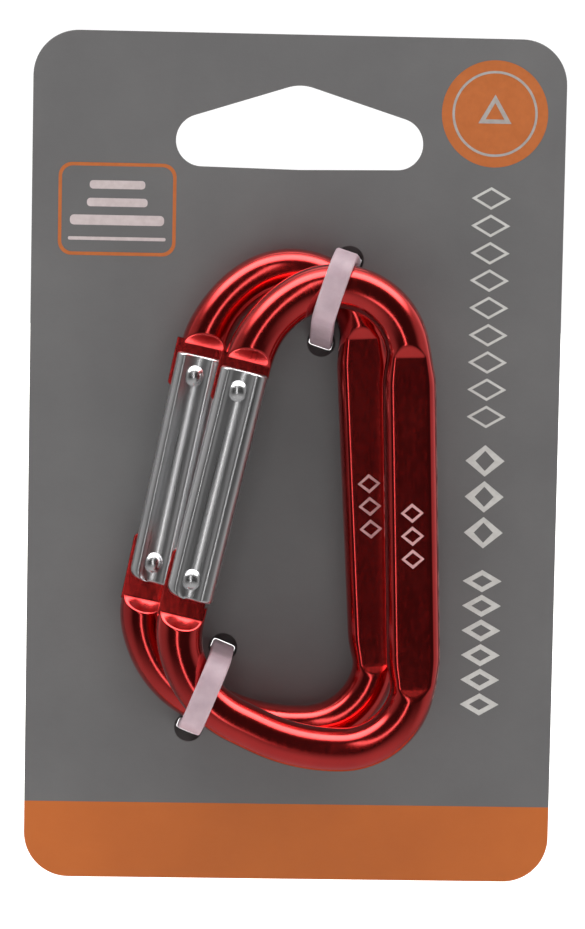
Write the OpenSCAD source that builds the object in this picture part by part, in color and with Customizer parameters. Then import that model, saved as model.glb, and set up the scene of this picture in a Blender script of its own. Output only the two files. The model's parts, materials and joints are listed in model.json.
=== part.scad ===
// Two small D-shaped carabiners fastened to a hang card with two cable ties.
// The card stands upright and hangs by its peg hole. The origin is the top of the peg hole.
// +Z is up, +X is to the right and -Y is the front, where the carabiners lie.

/* [Hang card] */
// Width of the card
card_w = 63.5; // [60:0.5:80]
// Height of the card
card_h = 101.6; // [101:0.5:120]
// Thickness of the card
card_t = 0.8; // [0.5:0.1:1.2]
// Radius of the card's corners
card_corner_r = 5.4; // [3:0.1:8]
// Distance from the top of the card down to the top of the peg hole
peg_margin = 6; // [5:0.5:8]
// Width of the peg hole
peg_hole_w = 29.5; // [26:0.5:32]
// Height of the peg hole
peg_hole_h = 9.8; // [9.5:0.1:10]
// Radius of the peg hole's two ends
peg_end_r = 3.1; // [2.5:0.1:3.5]
// Radius of the peg hole's peak
peg_peak_r = 5; // [4:0.5:6]
// Diameter of each hole that a tie passes through
tie_hole_d = 3.4; // [3.3:0.1:4]

/* [Carabiner rod] */
// Diameter of the rod
rod_d = 5.2; // [5:0.1:5.4]
// Length of the straight spine between its two bends
spine_l = 37.6; // [37.2:0.1:38]
// Width of the spine where it is pressed flat
spine_w = 6.35; // [5.6:0.05:6.6]
// Thickness of the spine where it is pressed flat
spine_t = 3.7; // [3.2:0.1:4.4]
// Radius of the bend at the top of the spine
top_bend_r = 8.5; // [8.4:0.05:8.6]
// Radius of the bend that runs down to the nose
nose_bend_r = 13; // [12.8:0.1:13.2]
// Radius of the bend at the bottom of the spine
low_bend_r = 8.5; // [8.4:0.05:8.6]
// Radius of the wide curve along the bottom
base_bend_r = 21.9; // [21.6:0.1:22.2]
// Radius of the bend below the gate
heel_bend_r = 12.1; // [12:0.1:12.2]
// Radius of the last bend before the hinge
hinge_bend_r = 9; // [8.8:0.1:9.2]

/* [Gate] */
// Distance between the hinge rivet and the latch rivet
gate_span = 22.67; // [22.5:0.01:22.8]
// Lean of the closed gate towards the spine, in degrees
gate_lean = 14.85; // [14.8:0.05:14.9]
// Width of the gate
gate_w = 5.6; // [5.2:0.1:5.8]
// Thickness of the gate
gate_t = 5.2; // [5:0.1:5.3]
// Diameter of the shaft of each rivet
rivet_d = 1.6; // [1.4:0.1:1.8]
// Diameter of the domed head of each rivet
rivet_head_d = 2.5; // [2.2:0.1:2.7]
// Thickness of the tongues on the frame that the gate straddles
tang_t = 2; // [1.6:0.1:2]
// Outer diameter of the spring that closes the gate
spring_d = 2; // [1.6:0.1:2]

/* [Cable ties] */
// Width of the strap
strap_w = 2.7; // [2.4:0.1:2.8]
// Thickness of the strap
strap_t = 1.1; // [0.9:0.1:1.2]
// Width of the locking head
head_w = 4.6; // [4:0.1:5]
// Length of the locking head along the strap
head_l = 4.4; // [4:0.1:5]
// Height of the locking head off the card
head_h = 3; // [2.6:0.1:3.4]

/* [Hidden] */
$fn = 32;
card_grey = [0.4, 0.4, 0.4];
anodised_red = [0.62, 0.1, 0.12];
bare_metal = [0.7, 0.71, 0.73];
nylon_white = [0.88, 0.86, 0.85];
reach = 40;

// How far the peg hole's straight edges sit inside its rounds
edge_inset = 0.02;

// Heights above the card's middle plane: the card's face, then the middle of each carabiner
layer_gap = 0.2;
card_face = card_t / 2;
back_layer = card_face + layer_gap + rod_d / 2;
front_layer = back_layer + rod_d + 2 * layer_gap;

// Each carabiner's place: its centre, across and down from the peg hole's top, and its turn in degrees
card_centre_z = peg_margin - card_h / 2;
back_place = [-4.5, card_centre_z - 4.7, back_layer];
back_turn = 3.5;
front_place = [0.2, card_centre_z - 6.3, front_layer];
front_turn = 2.1;

// Carabiner frame: x towards the spine, y up, origin at the middle of its outline
rod_r = rod_d / 2;
spine_x = 13.45;
top_bend_turn = 118.5;
base_bend_turn = 26.8;
base_straight = 2.85;
heel_bend_turn = 51.5;
nose_stub = 0.9;
hinge_stub = 1.8;
collar_proud = 0.03;
collar_l = 0.5;
// Bends as [radius, turn], anticlockwise positive; a straight stretch as [0, length]
nose_run = [[top_bend_r, top_bend_turn], [nose_bend_r, 180 - gate_lean - top_bend_turn], [0, nose_stub]];
hinge_run = [
    [low_bend_r, -90],
    [base_bend_r, -base_bend_turn],
    [0, base_straight],
    [heel_bend_r, -heel_bend_turn],
    [hinge_bend_r, base_bend_turn + heel_bend_turn - 90 - gate_lean],
    [0, hinge_stub]
];

// Flats pressed into the spine: ends of the flat floor, and the length of the ramp up from it
flat_top = 18.9;
flat_bottom = -19.9;
ramp_l = 1.3;
bulge_r = 2.3;
bulge_fade = 3;

// Gate frame: x along the gate from the hinge, y towards the spine, z through the thickness
hinge_x = -12.45;
hinge_y = -6.55;
gate_heel = 2.35;
gate_l = 27.5;
gate_offset = 0.25;
gate_corner_r = 1.4;
gate_chamfer = 1.2;
groove_r = 2.6;
groove_depth = 0.55;
tang_clearance = 0.1;
slot_w = tang_t + 2 * tang_clearance;
hinge_slot_end = 4.2;
latch_slot_start = 18.9;
rivet_seat = gate_t / 2 - groove_depth;
rivet_dome = 0.7;
rivet_clearance = 0.05;
seat_clearance = 0.05;
seat_depth = 1;

// Plunger and spring in the gate's blind bore
plunger_y = 0.7;
bore_clearance = 0.1;
bore_d = spring_d + 2 * bore_clearance;
bore_end = 15;
cam_r = 2;
plunger_gap = 0.02;
plunger_head_l = 4;
plunger_stem_l = 3;
plunger_stem_d = 0.9;
spring_start = cam_r + plunger_gap + plunger_head_l;
spring_wall = 0.35;

// Tongues: ends of the full round rod either side of the gate, and the notch for the latch rivet
hinge_ramp = -4.4;
nose_gap = 3.5;
tang_flat_l = 3;
nose_ramp = gate_span + nose_gap;
tang_outer = -2.95;
tang_inner = 2.3;
hinge_lip_end = 3;
hinge_lip_w = 1.1;
hinge_lip_step = 0.4;
notch_w = rivet_d + 4 * rivet_clearance;
notch_floor = -rivet_d / 2 - rivet_clearance;
hook_tip = 1.1;
hook_reach = 2;
hook_end = gate_span - hook_reach;

// Cable ties: each loop lies in a plane through its two holes, leaning from upright by a few degrees
tie_clearance = 0.15;
behind_card = 0.25;
tail_overlap = 1;
loop_corner_r = 0.5;
head_start = 3.1;
tail_l = 1.6;
tail_gap = 0.3;
upper_tie_start = [3, card_centre_z + 14.3];
upper_tie_end = [6.2, card_centre_z + 24.2];
upper_tie_lean = -6;
lower_tie_start = [-8.1, card_centre_z - 22.6];
lower_tie_end = [-12.1, card_centre_z - 32.4];
lower_tie_lean = 2;
// Where the two rods cross each tie's plane: [start, end] along the line between its holes
upper_front_rod = [3, 10];
upper_back_rod = [2.6, 9.9];
lower_front_rod = [1.1, 8.45];
lower_back_rod = [3.85, 9.25];

// Where a run is after one bend: [x, y, heading]
function after_bend(pose, bend) = bend[0] == 0
    ? [pose[0] + bend[1] * cos(pose[2]), pose[1] + bend[1] * sin(pose[2]), pose[2]]
    : let (side = sign(bend[1]) * bend[0], heading = pose[2] + bend[1])
        [
            pose[0] + side * (sin(heading) - sin(pose[2])),
            pose[1] + side * (cos(pose[2]) - cos(heading)),
            heading
        ];

function after_bends(pose, bends, count) = count == 0
    ? pose
    : after_bend(after_bends(pose, bends, count - 1), bends[count - 1]);

// Stands a shape drawn flat on the card upright, with its +z towards the front
module upright() {
    rotate([90, 0, 0]) children();
}

module on_layer(place, turn) {
    upright() translate(place) rotate(turn) children();
}

// Gate frame, measured from the hinge rivet
module at_hinge() {
    translate([hinge_x, hinge_y, 0]) rotate([180, 0, 90 - gate_lean]) children();
}

module rounded_rect(size, r) {
    square([size[0] - 2 * r, size[1]], center = true);
    square([size[0], size[1] - 2 * r], center = true);
    for (x = [-1, 1], y = [-1, 1])
        translate([x * (size[0] / 2 - r), y * (size[1] / 2 - r)]) circle(r);
}

// A wide slot with round ends and a low rounded peak, its top at the origin. The straight edges sit
// a hair inside the rounds, so that each edge crosses its rounds cleanly.
module peg_outline() {
    end_x = peg_hole_w / 2 - peg_end_r;
    end_y = peg_end_r - peg_hole_h;
    rise = -peg_peak_r - end_y;
    lean = atan2(rise, end_x) + asin((peg_peak_r - peg_end_r) / norm([end_x, rise]));
    slope = [-sin(lean), cos(lean)];
    left_end = [-end_x, end_y] + (peg_end_r - edge_inset) * slope;
    left_peak = [0, -peg_peak_r] + (peg_peak_r - edge_inset) * slope;
    floor_y = edge_inset - peg_hole_h;
    for (side = [-1, 1])
        translate([side * end_x, end_y]) circle(peg_end_r);
    translate([0, -peg_peak_r]) circle(peg_peak_r);
    polygon([
        [-end_x, floor_y],
        [-end_x, end_y],
        left_end,
        left_peak,
        [-left_peak[0], left_peak[1]],
        [-left_end[0], left_end[1]],
        [end_x, end_y],
        [end_x, floor_y]
    ]);
}

module card() {
    color(card_grey) upright() translate([0, 0, -card_t / 2]) linear_extrude(card_t)
        difference() {
            translate([0, card_centre_z]) rounded_rect([card_w, card_h], card_corner_r);
            peg_outline();
            for (hole = [upper_tie_start, upper_tie_end, lower_tie_start, lower_tie_end])
                translate(hole) circle(d = tie_hole_d);
        }
}

// The loop's inner outline, drawn with x along the card and y off it, grown by grow. rise lifts it
// where the loop leans, so that the strap's lower edge still clears the rods.
module tie_outline(hole_gap, front_rod, back_rod, rise, grow) {
    base_y = -card_t / 2 - behind_card + loop_corner_r;
    hull() {
        for (x = [strap_t / 2 + loop_corner_r, hole_gap - strap_t / 2 - loop_corner_r])
            translate([x, base_y]) circle(loop_corner_r + grow);
        for (x = [front_rod[0] + rod_r, front_rod[1] - rod_r])
            translate([x, front_layer + rise]) circle(rod_r + tie_clearance + grow);
        for (x = [back_rod[0] + rod_r, back_rod[1] - rod_r])
            translate([x, back_layer + rise]) circle(rod_r + tie_clearance + grow);
    }
}

module tie(start, end, lean, front_rod, back_rod) {
    run = end - start;
    rise = strap_w / 2 * sin(abs(lean)) + front_layer * (1 / cos(lean) - 1);
    head_top = -card_t / 2 - behind_card;
    color(nylon_white) upright() translate(start) rotate(atan2(run[1], run[0])) {
        rotate([90 + lean, 0, 0]) translate([0, 0, -strap_w / 2]) linear_extrude(strap_w)
            difference() {
                tie_outline(norm(run), front_rod, back_rod, rise, strap_t);
                tie_outline(norm(run), front_rod, back_rod, rise, 0);
            }
        translate([head_start, -head_w / 2, head_top - head_h]) cube([head_l, head_w, head_h]);
        translate([head_start - tail_l, -strap_w / 2, head_top - head_h + tail_gap])
            cube([tail_l + tail_overlap, strap_w, strap_t]);
    }
}

// One stretch of rod from a pose [x, y, heading], with a short collar at its start that is thicker
// than the rod by a hair, so that it joins the stretch before it as one solid
module bent_rod(pose, bend) {
    translate([pose[0], pose[1], 0]) rotate(pose[2]) {
        rotate([0, 90, 0]) cylinder(r = rod_r + collar_proud, h = collar_l, center = true);
        if (bend[0] == 0)
            rotate([0, 90, 0]) cylinder(r = rod_r, h = bend[1]);
        else
            translate([0, sign(bend[1]) * bend[0], 0])
                rotate(bend[1] > 0 ? -90 : 90 + bend[1])
                    rotate_extrude(angle = abs(bend[1])) translate([bend[0], 0]) circle(rod_r);
    }
}

module rod_run(start, bends) {
    for (i = [0:len(bends) - 1])
        bent_rod(after_bends(start, bends, i), bends[i]);
}

// The spine is one cylinder with a slimmer one each side of it, where pressing has widened it
module spine() {
    spread = spine_w / 2 - bulge_r;
    bulge_l = flat_top - flat_bottom - 2 * bulge_fade;
    translate([spine_x, -spine_l / 2, 0]) rotate([-90, 0, 0]) cylinder(r = rod_r, h = spine_l);
    for (side = [-1, 1])
        translate([spine_x + side * spread, flat_bottom + bulge_fade, 0]) rotate([-90, 0, 0]) {
            cylinder(r = bulge_r, h = bulge_l);
            translate([0, 0, bulge_l]) cylinder(r1 = bulge_r, r2 = bulge_r - spread, h = bulge_fade);
            translate([0, 0, -bulge_fade]) cylinder(r1 = bulge_r - spread, r2 = bulge_r, h = bulge_fade);
        }
}

// Cutters for a pair of flats that leave a thickness, from x = start to x = end, with a ramp at
// each end where one is asked for
module flats(start, end, thickness, width, start_ramp, end_ramp) {
    rise = rod_r - thickness / 2;
    for (side = [0, 1])
        mirror([0, 0, side]) rotate([90, 0, 0]) translate([0, 0, -width / 2]) linear_extrude(width)
            polygon([
                [start, thickness / 2],
                [end, thickness / 2],
                [end + 2 * end_ramp, thickness / 2 + 2 * rise],
                [start - 2 * start_ramp, thickness / 2 + 2 * rise]
            ]);
}

// The tongue that the hinge rivet passes through, with the round cam that the plunger pushes on
module hinge_tang() {
    difference() {
        translate([0, 0, -tang_t / 2]) linear_extrude(tang_t) {
            translate([0, plunger_y]) circle(cam_r);
            translate([hinge_ramp, tang_outer + hinge_lip_step])
                square([-hinge_ramp, tang_inner - tang_outer - hinge_lip_step]);
            translate([hinge_ramp, tang_outer]) square([hinge_lip_end - hinge_ramp, hinge_lip_w]);
        }
        cylinder(d = rivet_d + 2 * rivet_clearance, h = 2 * tang_t, center = true);
    }
}

// The hooked tongue whose notch, open towards the spine, takes the latch rivet
module nose_tang() {
    translate([0, 0, -tang_t / 2]) linear_extrude(tang_t)
        difference() {
            translate([hook_end, tang_outer]) square([nose_ramp - hook_end, tang_inner - tang_outer]);
            translate([gate_span - notch_w / 2, notch_floor]) square([notch_w, reach]);
            translate([hook_end - hook_reach, hook_tip]) square([2 * hook_reach, reach]);
        }
}

// The whole frame of one carabiner: a bent rod with a flattened spine and a tongue at each end
module frame() {
    difference() {
        union() {
            spine();
            rod_run([spine_x, spine_l / 2, 90], nose_run);
            rod_run([spine_x, -spine_l / 2, -90], hinge_run);
        }
        translate([spine_x, 0, 0]) rotate(90)
            flats(flat_bottom, flat_top, spine_t, 2 * spine_w, ramp_l, ramp_l);
        at_hinge() flats(hinge_ramp, hinge_ramp + tang_flat_l, tang_t, 2 * gate_w, ramp_l, 0);
        at_hinge() flats(nose_ramp - tang_flat_l, nose_ramp, tang_t, 2 * gate_w, 0, ramp_l);
    }
    at_hinge() hinge_tang();
    at_hinge() nose_tang();
}

module gate() {
    difference() {
        translate([-gate_heel, gate_offset, 0]) rotate([90, 0, 90]) linear_extrude(gate_l)
            rounded_rect([gate_w, gate_t], gate_corner_r);
        for (side = [-1, 1]) {
            translate([-reach / 2, 0, side * (rivet_seat + groove_r)]) rotate([0, 90, 0])
                cylinder(r = groove_r, h = 2 * reach);
            for (x = [0, gate_span])
                translate([x, 0, side * (rivet_seat + seat_depth)])
                    cylinder(d = rivet_head_d + 2 * seat_clearance, h = 2 * seat_depth, center = true);
        }
        for (x = [0, gate_span])
            translate([x, 0, 0]) cylinder(d = rivet_d, h = 2 * gate_t, center = true);
        translate([-reach, -reach / 2, -slot_w / 2]) cube([reach + hinge_slot_end, reach, slot_w]);
        translate([latch_slot_start, -reach / 2, -slot_w / 2]) cube([reach, reach, slot_w]);
        translate([0, plunger_y, 0]) rotate([0, 90, 0]) cylinder(d = bore_d, h = bore_end);
        translate([-gate_heel, gate_offset - gate_w / 2, 0]) rotate(45)
            cube([gate_chamfer, gate_chamfer, 2 * gate_t], center = true);
    }
}

module rivet() {
    dome_r = (pow(rivet_head_d / 2, 2) + pow(rivet_dome, 2)) / (2 * rivet_dome);
    cylinder(d = rivet_d, h = 2 * rivet_seat, center = true);
    for (side = [0, 1])
        mirror([0, 0, side])
            intersection() {
                translate([0, 0, rivet_seat + rivet_dome - dome_r]) sphere(dome_r);
                translate([0, 0, rivet_seat]) cylinder(d = rivet_head_d, h = 2 * rivet_dome);
            }
}

module plunger() {
    translate([cam_r + plunger_gap, plunger_y, 0]) rotate([0, 90, 0]) {
        cylinder(d = spring_d, h = plunger_head_l);
        cylinder(d = plunger_stem_d, h = plunger_head_l + plunger_stem_l);
    }
}

// The spring as a plain sleeve of its outer size
module spring() {
    translate([spring_start, plunger_y, 0]) rotate([0, 90, 0])
        difference() {
            cylinder(d = spring_d, h = bore_end - spring_start);
            translate([0, 0, -reach / 2]) cylinder(d = spring_d - 2 * spring_wall, h = reach);
        }
}

module latch_rivet() {
    translate([gate_span, 0, 0]) rivet();
}

module back_half() {
    on_layer(back_place, back_turn) children();
}

module front_half() {
    on_layer(front_place, front_turn) children();
}

module tie_upper() {
    tie(upper_tie_start, upper_tie_end, upper_tie_lean, upper_front_rod, upper_back_rod);
}

module tie_lower() {
    tie(lower_tie_start, lower_tie_end, lower_tie_lean, lower_front_rod, lower_back_rod);
}

module back_frame() { color(anodised_red) back_half() frame(); }
module back_gate() { color(bare_metal) back_half() at_hinge() gate(); }
module back_hinge_rivet() { color(bare_metal) back_half() at_hinge() rivet(); }
module back_latch_rivet() { color(bare_metal) back_half() at_hinge() latch_rivet(); }
module back_plunger() { color(bare_metal) back_half() at_hinge() plunger(); }
module back_spring() { color(bare_metal) back_half() at_hinge() spring(); }
module front_frame() { color(anodised_red) front_half() frame(); }
module front_gate() { color(bare_metal) front_half() at_hinge() gate(); }
module front_hinge_rivet() { color(bare_metal) front_half() at_hinge() rivet(); }
module front_latch_rivet() { color(bare_metal) front_half() at_hinge() latch_rivet(); }
module front_plunger() { color(bare_metal) front_half() at_hinge() plunger(); }
module front_spring() { color(bare_metal) front_half() at_hinge() spring(); }

card();
tie_upper();
tie_lower();
back_frame();
back_gate();
back_hinge_rivet();
back_latch_rivet();
back_plunger();
back_spring();
front_frame();
front_gate();
front_hinge_rivet();
front_latch_rivet();
front_plunger();
front_spring();
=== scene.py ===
"""Looks of the carded carabiner pair. Lengths are in millimetres until a mesh is placed."""

import json
import math

import bmesh
import bpy
from mathutils import Matrix, Vector


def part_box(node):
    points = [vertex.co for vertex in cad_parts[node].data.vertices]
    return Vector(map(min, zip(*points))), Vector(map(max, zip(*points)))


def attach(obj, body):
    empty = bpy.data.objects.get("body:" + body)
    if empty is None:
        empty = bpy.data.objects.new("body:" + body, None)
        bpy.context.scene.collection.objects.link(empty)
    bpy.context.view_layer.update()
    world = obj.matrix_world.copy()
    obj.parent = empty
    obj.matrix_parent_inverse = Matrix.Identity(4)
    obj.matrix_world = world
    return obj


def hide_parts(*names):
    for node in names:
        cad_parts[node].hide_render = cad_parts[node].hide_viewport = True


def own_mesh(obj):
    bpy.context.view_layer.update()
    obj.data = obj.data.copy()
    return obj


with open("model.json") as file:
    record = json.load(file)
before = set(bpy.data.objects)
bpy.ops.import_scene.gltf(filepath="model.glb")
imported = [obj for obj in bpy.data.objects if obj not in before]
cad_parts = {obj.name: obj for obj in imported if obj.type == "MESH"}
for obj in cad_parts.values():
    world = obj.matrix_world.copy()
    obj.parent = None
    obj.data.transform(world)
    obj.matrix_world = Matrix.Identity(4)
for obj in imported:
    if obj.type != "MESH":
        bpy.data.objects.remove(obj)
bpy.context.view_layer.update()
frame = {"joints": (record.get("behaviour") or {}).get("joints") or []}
joints = {j["name"]: j for j in frame["joints"]}
ROOT = "card_and_frames"
MM = 0.001

# The way the card faces, and the turns that stand a flat drawing up and lay a lathe's axis along x
FRONT = Vector((0, -1, 0))
UPRIGHT = Matrix.Rotation(math.radians(90), 4, "X")
ALONG_X = Matrix.Rotation(math.radians(90), 4, "Y")
TO_METRES = Matrix.Scale(MM, 4)

# Card
CARD_W = 63.5
CARD_H = 101.6
CARD_T = 0.8
CARD_CENTRE_Z = -44.8
CARD_CORNER = 5.4
CARD_SOFT = 0.07
BAND_TOP = CARD_CENTRE_Z - 41.6
# Half the thickness of the dark core, which is partly painted shade for the tie holes, and the ink's reach
# each side of the card's face
CORE_HALF = 0.30
INK_T = 0.02
INK_LOW = CARD_T / 2 - INK_T
INK_HIGH = CARD_T / 2 + INK_T
PEG_W = 29.5
PEG_H = 9.8
PEG_END_R = 3.1
PEG_PEAK_R = 5.0
# Each tie hole is round at the front, and behind the card it closes in round the strap, so that its wall,
# in the dark core colour, stands as painted shade in the hole
TIE_HOLE_R = 1.7
FITTED_HALF_L = 0.66
FITTED_HALF_W = 1.42
FITTED_SHIFT = 0.04
FITTED_SQUARENESS = 0.35
HOLE_POINTS = 48
OUTLINE_SPACING = 0.3

# Print, from the card's centre: a title of diamonds, a roundel and a badge
TITLE_X = 23.0
TITLE_HALF_W = 2.35
TITLE_LINE_X = 1.4
TITLE_LINE_Y = 0.8
# Each group of diamonds: name, top, bottom, count, half height, line width
TITLE_GROUPS = [
    ("light", 33.5, 4.1, 9, 1.35, 0.42),
    ("bold", 2.6, -10.4, 3, 1.9, 0.85),
    ("bold_small", -12.6, -30.6, 6, 1.35, 0.8),
]
ROUNDEL_CENTRE = (23.2, 41.9)
ROUNDEL_R = 6.35
ROUNDEL_LINE = (5.1, 4.8)
ROUNDEL_TRIANGLE = (2.3, 1.3)
BADGE_X = (-28.6, -14.6)
BADGE_Y = (24.2, 35.2)
BADGE_CORNERS = (1.6, 1.3)
BADGE_LINE = 0.4
# Each bar in the badge: height on the card, width, thickness
BADGE_BAR_ROUND = 0.4
BADGE_BARS = [(32.6, 6.6, 1.0), (30.5, 7.2, 1.0), (28.4, 11.2, 1.2), (26.2, 11.6, 0.4)]

# Carabiner frame: x to the spine, y up, z to the front
ROD_R = 2.6
SPINE_X = 13.45
SPINE_L = 37.6
SPINE_HALF_W = 3.175
SPINE_FLAT = 1.85
FLAT_TOP = 18.9
FLAT_BOTTOM = -19.9
SPINE_SLOPE = 0.75 / 1.3
SPINE_BLEND = 0.12
TANG_BLEND = 0.1
FLAT_BLEND = 0.2
GATE_LEAN = 14.85
NOSE_BENDS = [(0, 0.9), (13, -46.65), (8.5, -118.5)]
HINGE_BENDS = [(8.5, -90), (21.9, -26.8), (0, 2.85), (12.1, -51.5), (9, -26.55), (0, 1.8)]
NOSE_START = (SPINE_X, SPINE_L / 2, 90)
HINGE_X = -12.45
HINGE_Y = -6.55
# The rod's mesh: points round it, and its two spacings along it, the finer one where it is shaped
ROD_POINTS = 96
ROD_STEP = 0.6
ROD_FINE_STEP = 0.1
NOSE_SHAPED = 4.2
HINGE_SHAPED = 4.6
SPINE_TOP_SHAPED = (-2.4, 0.8)
SPINE_FOOT_SHAPED = (-0.4, 3.4)
# The rod swells where it is pressed flat: how far past the spine's ends, and over what length
PRESS_ABOVE = 1.5
PRESS_BELOW = 2.5
PRESS_L = 5
SQUEEZE_START = 2
SQUEEZE_SWELL = 0.2
# Engraved lozenges: centre of the middle one on each spine, pitch, half sizes and line
MARKS_Y = {"back": -1.0, "front": -2.0}
MARK_PITCH = 2.7
MARK_HALF_H = 1.15
MARK_HALF_W = 1.35
MARK_LINE = 0.42

# Gate frame: x along the gate from the hinge, y to the spine, z to the back
GATE_SPAN = 22.67
GATE_LOW = -2.35
GATE_HIGH = 25.15
GATE_V = (-2.55, 3.05)
GATE_HALF_T = 2.6
GATE_CORNER = 1.4
GROOVE_R = 2.6
GROOVE_CENTRE = 4.65
GROOVE_BLEND = 0.16
GATE_FILLET = 0.35
GATE_STEP = 0.5
HEEL_R = 1.3
HEEL_STEP = 0.15
HEEL_REACH = 0.6
SLOT_HALF = 1.1
HINGE_SLOT_END = 4.2
LATCH_SLOT_START = 18.9
TANG_HALF = 1.0
TANG_FLOOR = 0.97
TANG_SLOPE = 0.5
TANG_CURVE = 0.3
HINGE_RAMP = -4.4
NOSE_RAMP = 26.17
TANG_OUTER = -2.95
TANG_INNER = 2.3
TANG_IN_ROD = 0.6
TANG_EDGE = 0.12
HINGE_TANG_TIP = [(2.6, TANG_OUTER), (3.0, TANG_OUTER + 0.4), (3.0, -1.85), (0, -1.85)]
NOSE_TANG_TIP = [(21.3, TANG_OUTER), (20.67, TANG_OUTER + 0.7), (20.67, 0.7), (21.05, 1.1)]
NOTCH_R = 0.9
NOTCH_V = 0.05
NOTCH_RIM = 1.1
RIVET_R = 0.8
RIVET_HEAD_R = 1.25
RIVET_SEAT = 2.05
RIVET_DOME = 0.7
RIVET_RIM = 0.1
RIVET_UNDERCUT = 0.16
RIVET_CLEARANCE = 0.05
PLUNGER_V = 0.7
PLUNGER_GAP = 0.02
# Radius and distance from the nose: the nose, a grooved barrel and the stem inside the spring
PLUNGER_PROFILE = [
    (0.01, 0.0), (0.7, 0.02), (0.88, 0.1), (1.0, 0.28), (1.0, 1.6), (0.93, 1.68), (0.93, 1.92),
    (1.0, 2.0), (1.0, 3.8), (0.86, 4.0), (0.45, 4.0), (0.45, 6.8), (0.3, 7.0), (0.01, 7.0),
]
CAM_R = 2.0
CAM_END = 53.13
BORE_R = 1.1
BORE_END = 15.0
SPRING_START = 6.02
SPRING_R = 1.0
WIRE_R = 0.17
SPRING_TURNS = 11
SPRING_STEPS = 28
WIRE_SIDES = 10

# Cable ties
STRAP_W = 2.7
STRAP_T = 1.1
BACK_LAYER = 3.2
FRONT_LAYER = 8.8
TIE_CLEARANCE = 0.15
BEHIND_CARD = 0.25
LOOP_CORNER = 0.5
STRAP_EDGE = 0.3
HEAD_START = 3.1
HEAD_W = 4.6
HEAD_L = 4.4
HEAD_H = 3.0
HEAD_CORNER = 0.6
# The head's taper: depth behind the card's back, and how far its sides draw in there
HEAD_TAPER = ((0, 0.25), (0.25, 0.0), (HEAD_H - 0.9, 0.0), (HEAD_H - 0.2, 0.22), (HEAD_H, 0.42))
# The head's window, from its middle along the strap, past the strap's edges and deep
WINDOW_SPAN = (-1.1, 1.3)
WINDOW_MARGIN = 0.15
WINDOW_DEPTH = 1.1
# The pawl's outline, from the head's middle and up from its outer face
PAWL = [(-1.2, 0.35), (0.5, 0.5), (0.9, 1.2), (-1.2, 1.2)]
PAWL_HALF_W = 1.0
TAIL_L = 1.6
TAIL_GAP = 0.3
TAIL_IN_HEAD = 1
TOOTH_PITCH = 0.65
TOOTH_DEPTH = 0.22
TOOTH_SLOPE = 0.75
TOOTH_END = 0.8
TOOTH_START = 0.1
HEAD_EDGE = 0.08
TAIL_EDGE = 0.06
# Each tie: its two holes, its lean in degrees, and where the front and back rods lie along it
TIES = {
    "tie_upper": ((3, CARD_CENTRE_Z + 14.3), (6.2, CARD_CENTRE_Z + 24.2), -6, (3, 10), (2.6, 9.9)),
    "tie_lower": (
        (-8.1, CARD_CENTRE_Z - 22.6), (-12.1, CARD_CENTRE_Z - 32.4), 2, (1.1, 8.45), (3.85, 9.25)
    ),
}

# Camera: sensor, lens, place, and its azimuth, elevation and roll in degrees
SENSOR_W = 36
LENS = 178.95
CAMERA_AT = Vector((-11.5, -348.2, CARD_CENTRE_Z + 25.1))
CAMERA_TURN = (-1.87, 4.19, 1.11)

# Studio. Each soft light: azimuth, elevation, inner and outer angle in degrees, gain
LOBES = [
    (180, 30, 30, 85, 0.80),
    (0, -80, 20, 75, 0.42),
    (95, 5, 15, 55, 0.36),
    (-95, 5, 15, 55, 0.26),
    (0, 90, 10, 35, 0.5),
]
TOP = math.radians(74)
SIDE = math.radians(-9)
# Each bar: what it is square to, its middle's azimuth and elevation, half width, reach, gain
BARS = [
    ((0, math.sin(TOP), math.cos(TOP)), (0, 74), 15, 60, 4.2),
    ((math.cos(SIDE), math.sin(SIDE), 0), (-9, 8), 3.5, 35, 2.0),
]
# The shares of a bar's half width between which it fades, and of its reach where it starts to
BAR_FADE = (0.5, 1.5)
BAR_FULL = 0.7
DARKEST = 0.032
STUDIO_TINT = (1, 0.99, 0.985, 1)
WHITE = (1, 1, 1, 1)
BACKDROP = 1.05
# The floor, in metres: how far it lies below the card, its half width and its thickness
FLOOR_DROP = 0.012
FLOOR_HALF = 3.0
FLOOR_T = 0.01
FLOOR_GLOW = 0.4

# The part of a noise's range that a ramp or spread runs over
NOISE_SPAN = (0.3, 0.7)


def towards(azimuth, elevation):
    """A unit direction, in radians. Zero and zero point from the card to the front."""
    flat = math.cos(elevation)
    return (math.sin(azimuth) * flat, -math.cos(azimuth) * flat, math.sin(elevation))


def make_camera():
    """The photograph's view of the card."""
    data = bpy.data.cameras.new("camera")
    data.sensor_fit = "HORIZONTAL"
    data.sensor_width = SENSOR_W
    data.lens = LENS
    azimuth, elevation, roll = (math.radians(a) for a in CAMERA_TURN)
    back = Vector(towards(azimuth, elevation))
    level = Vector((math.cos(azimuth), math.sin(azimuth), 0))
    upward = back.cross(level)
    right = level * math.cos(roll) + upward * math.sin(roll)
    up = upward * math.cos(roll) - level * math.sin(roll)
    camera = bpy.data.objects.new("camera", data)
    turn = Matrix((right, up, back)).transposed().to_4x4()
    camera.matrix_world = Matrix.Translation(CAMERA_AT * MM) @ turn
    bpy.context.scene.collection.objects.link(camera)
    bpy.context.scene.camera = camera


# ---------------------------------------------------------------- mesh helpers

def new_object(name, bm):
    bmesh.ops.recalc_face_normals(bm, faces=bm.faces)
    mesh = bpy.data.meshes.new(name)
    bm.to_mesh(mesh)
    bm.free()
    obj = bpy.data.objects.new(name, mesh)
    bpy.context.scene.collection.objects.link(obj)
    return obj


def skin(bm, loops):
    """Bands of faces between each loop of vertices and the next."""
    for a, b in zip(loops, loops[1:]):
        for i in range(len(a)):
            j = (i + 1) % len(a)
            bm.faces.new((a[i], a[j], b[j], b[i]))


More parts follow.
